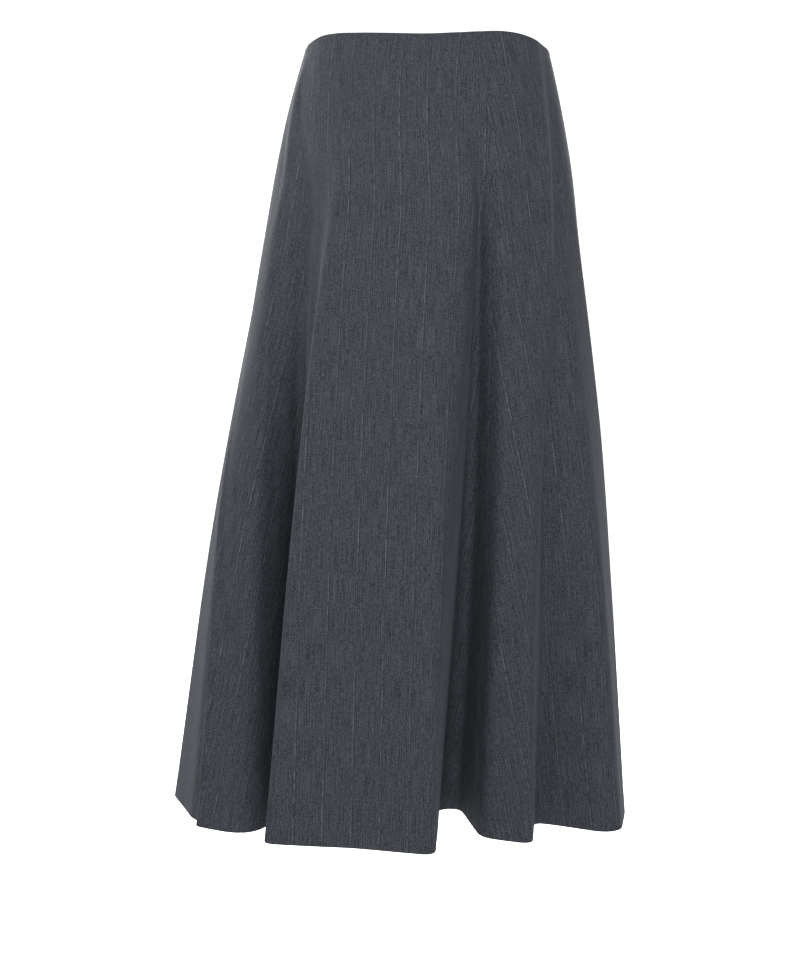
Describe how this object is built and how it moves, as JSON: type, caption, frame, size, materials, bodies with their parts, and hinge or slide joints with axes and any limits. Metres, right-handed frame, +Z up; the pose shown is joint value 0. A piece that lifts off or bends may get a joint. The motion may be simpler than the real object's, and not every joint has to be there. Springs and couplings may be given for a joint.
{
  "type": "maxi skirt",
  "caption": "Long flared skirt in its worn, hollow form, fitted from waist to hip and falling in deep flutes, with gores and a concealed zip.",
  "frame": {"origin": "middle of the waist opening, at the mean height of its top edge", "axes": "+Z up, out of the waist; -Y to the front of the garment; +X towards the wearer's left"},
  "size_m": [0.5, 0.4734, 0.8548],
  "materials": {
    "suiting": "matte wool suiting with pinstripes",
    "zip_tape": "woven tape",
    "zip_enamel": "satin enamel"
  },
  "bodies": {
    "skirt": {"gore_front": "suiting", "gore_left": "suiting", "gore_back": "suiting", "gore_right": "suiting", "zip_tape": "zip_tape", "zip_slider": "zip_enamel"},
    "pull": {"zip_pull": "zip_enamel"}
  },
  "joints": [
    {"name": "pull_hinge", "type": "hinge", "parent": "skirt", "child": "pull", "pos_m": [0.11076, 0.07577, -0.01718], "axis": [0.7816, -0.6234, -0.0208], "range_deg": [0, 170]}
  ]
}
